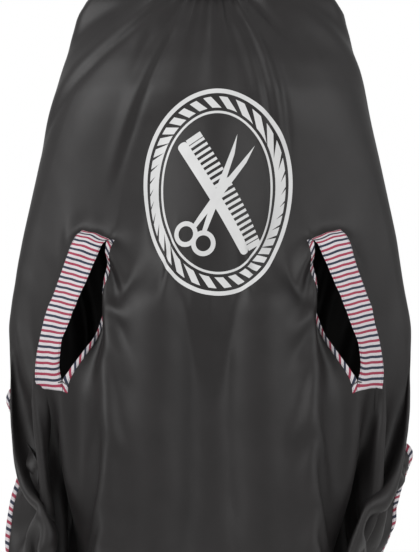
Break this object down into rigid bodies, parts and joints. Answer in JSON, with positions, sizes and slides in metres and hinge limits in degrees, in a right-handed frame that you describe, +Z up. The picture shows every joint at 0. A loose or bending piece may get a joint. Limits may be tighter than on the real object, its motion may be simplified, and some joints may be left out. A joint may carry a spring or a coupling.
{
  "type": "barber cape",
  "caption": "Dark draped hairdressing cape with a snap-closed neckband, two striped arm slits, striped hem binding and a printed badge.",
  "frame": {"origin": "centre of the neck opening, halfway up the neckband", "axes": "+Z up, wearer faces -Y, wearer's left is +X; the neckband's axis leans 18 degrees forward of +Z"},
  "size_m": [0.7274, 0.3822, 1.1321],
  "materials": {
    "cape_fabric": "fine plain-weave polyester taffeta, slightly sheer, soft sheen",
    "binding_stripe": "bias-cut cotton tape, white with red and navy stripes",
    "facing_stripe": "straight-cut cotton strip, white with red and navy stripes",
    "print_ink": "matt white screen print",
    "neckband_fabric": "the cape's own cloth, doubled and topstitched",
    "interlining": "stiff white non-woven",
    "snap_metal": "pressed nickel-plated ring snaps",
    "thread": "polyester sewing thread"
  },
  "bodies": {
    "cape": {"arm_facing_left": "facing_stripe", "arm_facing_right": "facing_stripe", "back_binding_left": "binding_stripe", "back_binding_right": "binding_stripe", "bartacks_left": "thread", "bartacks_right": "thread", "cape_front_chest": "cape_fabric", "cape_front_lap": "cape_fabric", "cape_front_legs": "cape_fabric", "cape_front_waist": "cape_fabric", "cape_left_back": "cape_fabric", "cape_left_shoulder": "cape_fabric", "cape_left_side": "cape_fabric", "cape_right_back": "cape_fabric", "cape_right_shoulder": "cape_fabric", "cape_right_side": "cape_fabric", "chest_print": "print_ink", "closure_tab_root": "neckband_fabric", "hem_binding_front": "binding_stripe", "hem_binding_left": "binding_stripe", "hem_binding_right": "binding_stripe", "neckband_interlining": "interlining", "neckband_lining": "neckband_fabric", "neckband_outer": "neckband_fabric", "slit_tape_left": "binding_stripe", "slit_tape_right": "binding_stripe", "snap_post_1": "snap_metal", "snap_post_2": "snap_metal", "snap_post_3": "snap_metal", "snap_post_4": "snap_metal", "snap_stud_1": "snap_metal", "snap_stud_2": "snap_metal", "snap_stud_3": "snap_metal", "snap_stud_4": "snap_metal"},
    "closure_tab": {"closure_tab_lining": "neckband_fabric", "closure_tab_outer": "neckband_fabric", "snap_cap_1": "snap_metal", "snap_cap_2": "snap_metal", "snap_socket_1": "snap_metal", "snap_socket_2": "snap_metal"}
  },
  "joints": [
    {"name": "closure_tab_peel", "type": "hinge", "parent": "cape", "child": "closure_tab", "pos_m": [0.0202, 0.06006, 0.01951], "axis": [0, 0.309, -0.9511], "range_deg": [0, 110]}
  ]
}
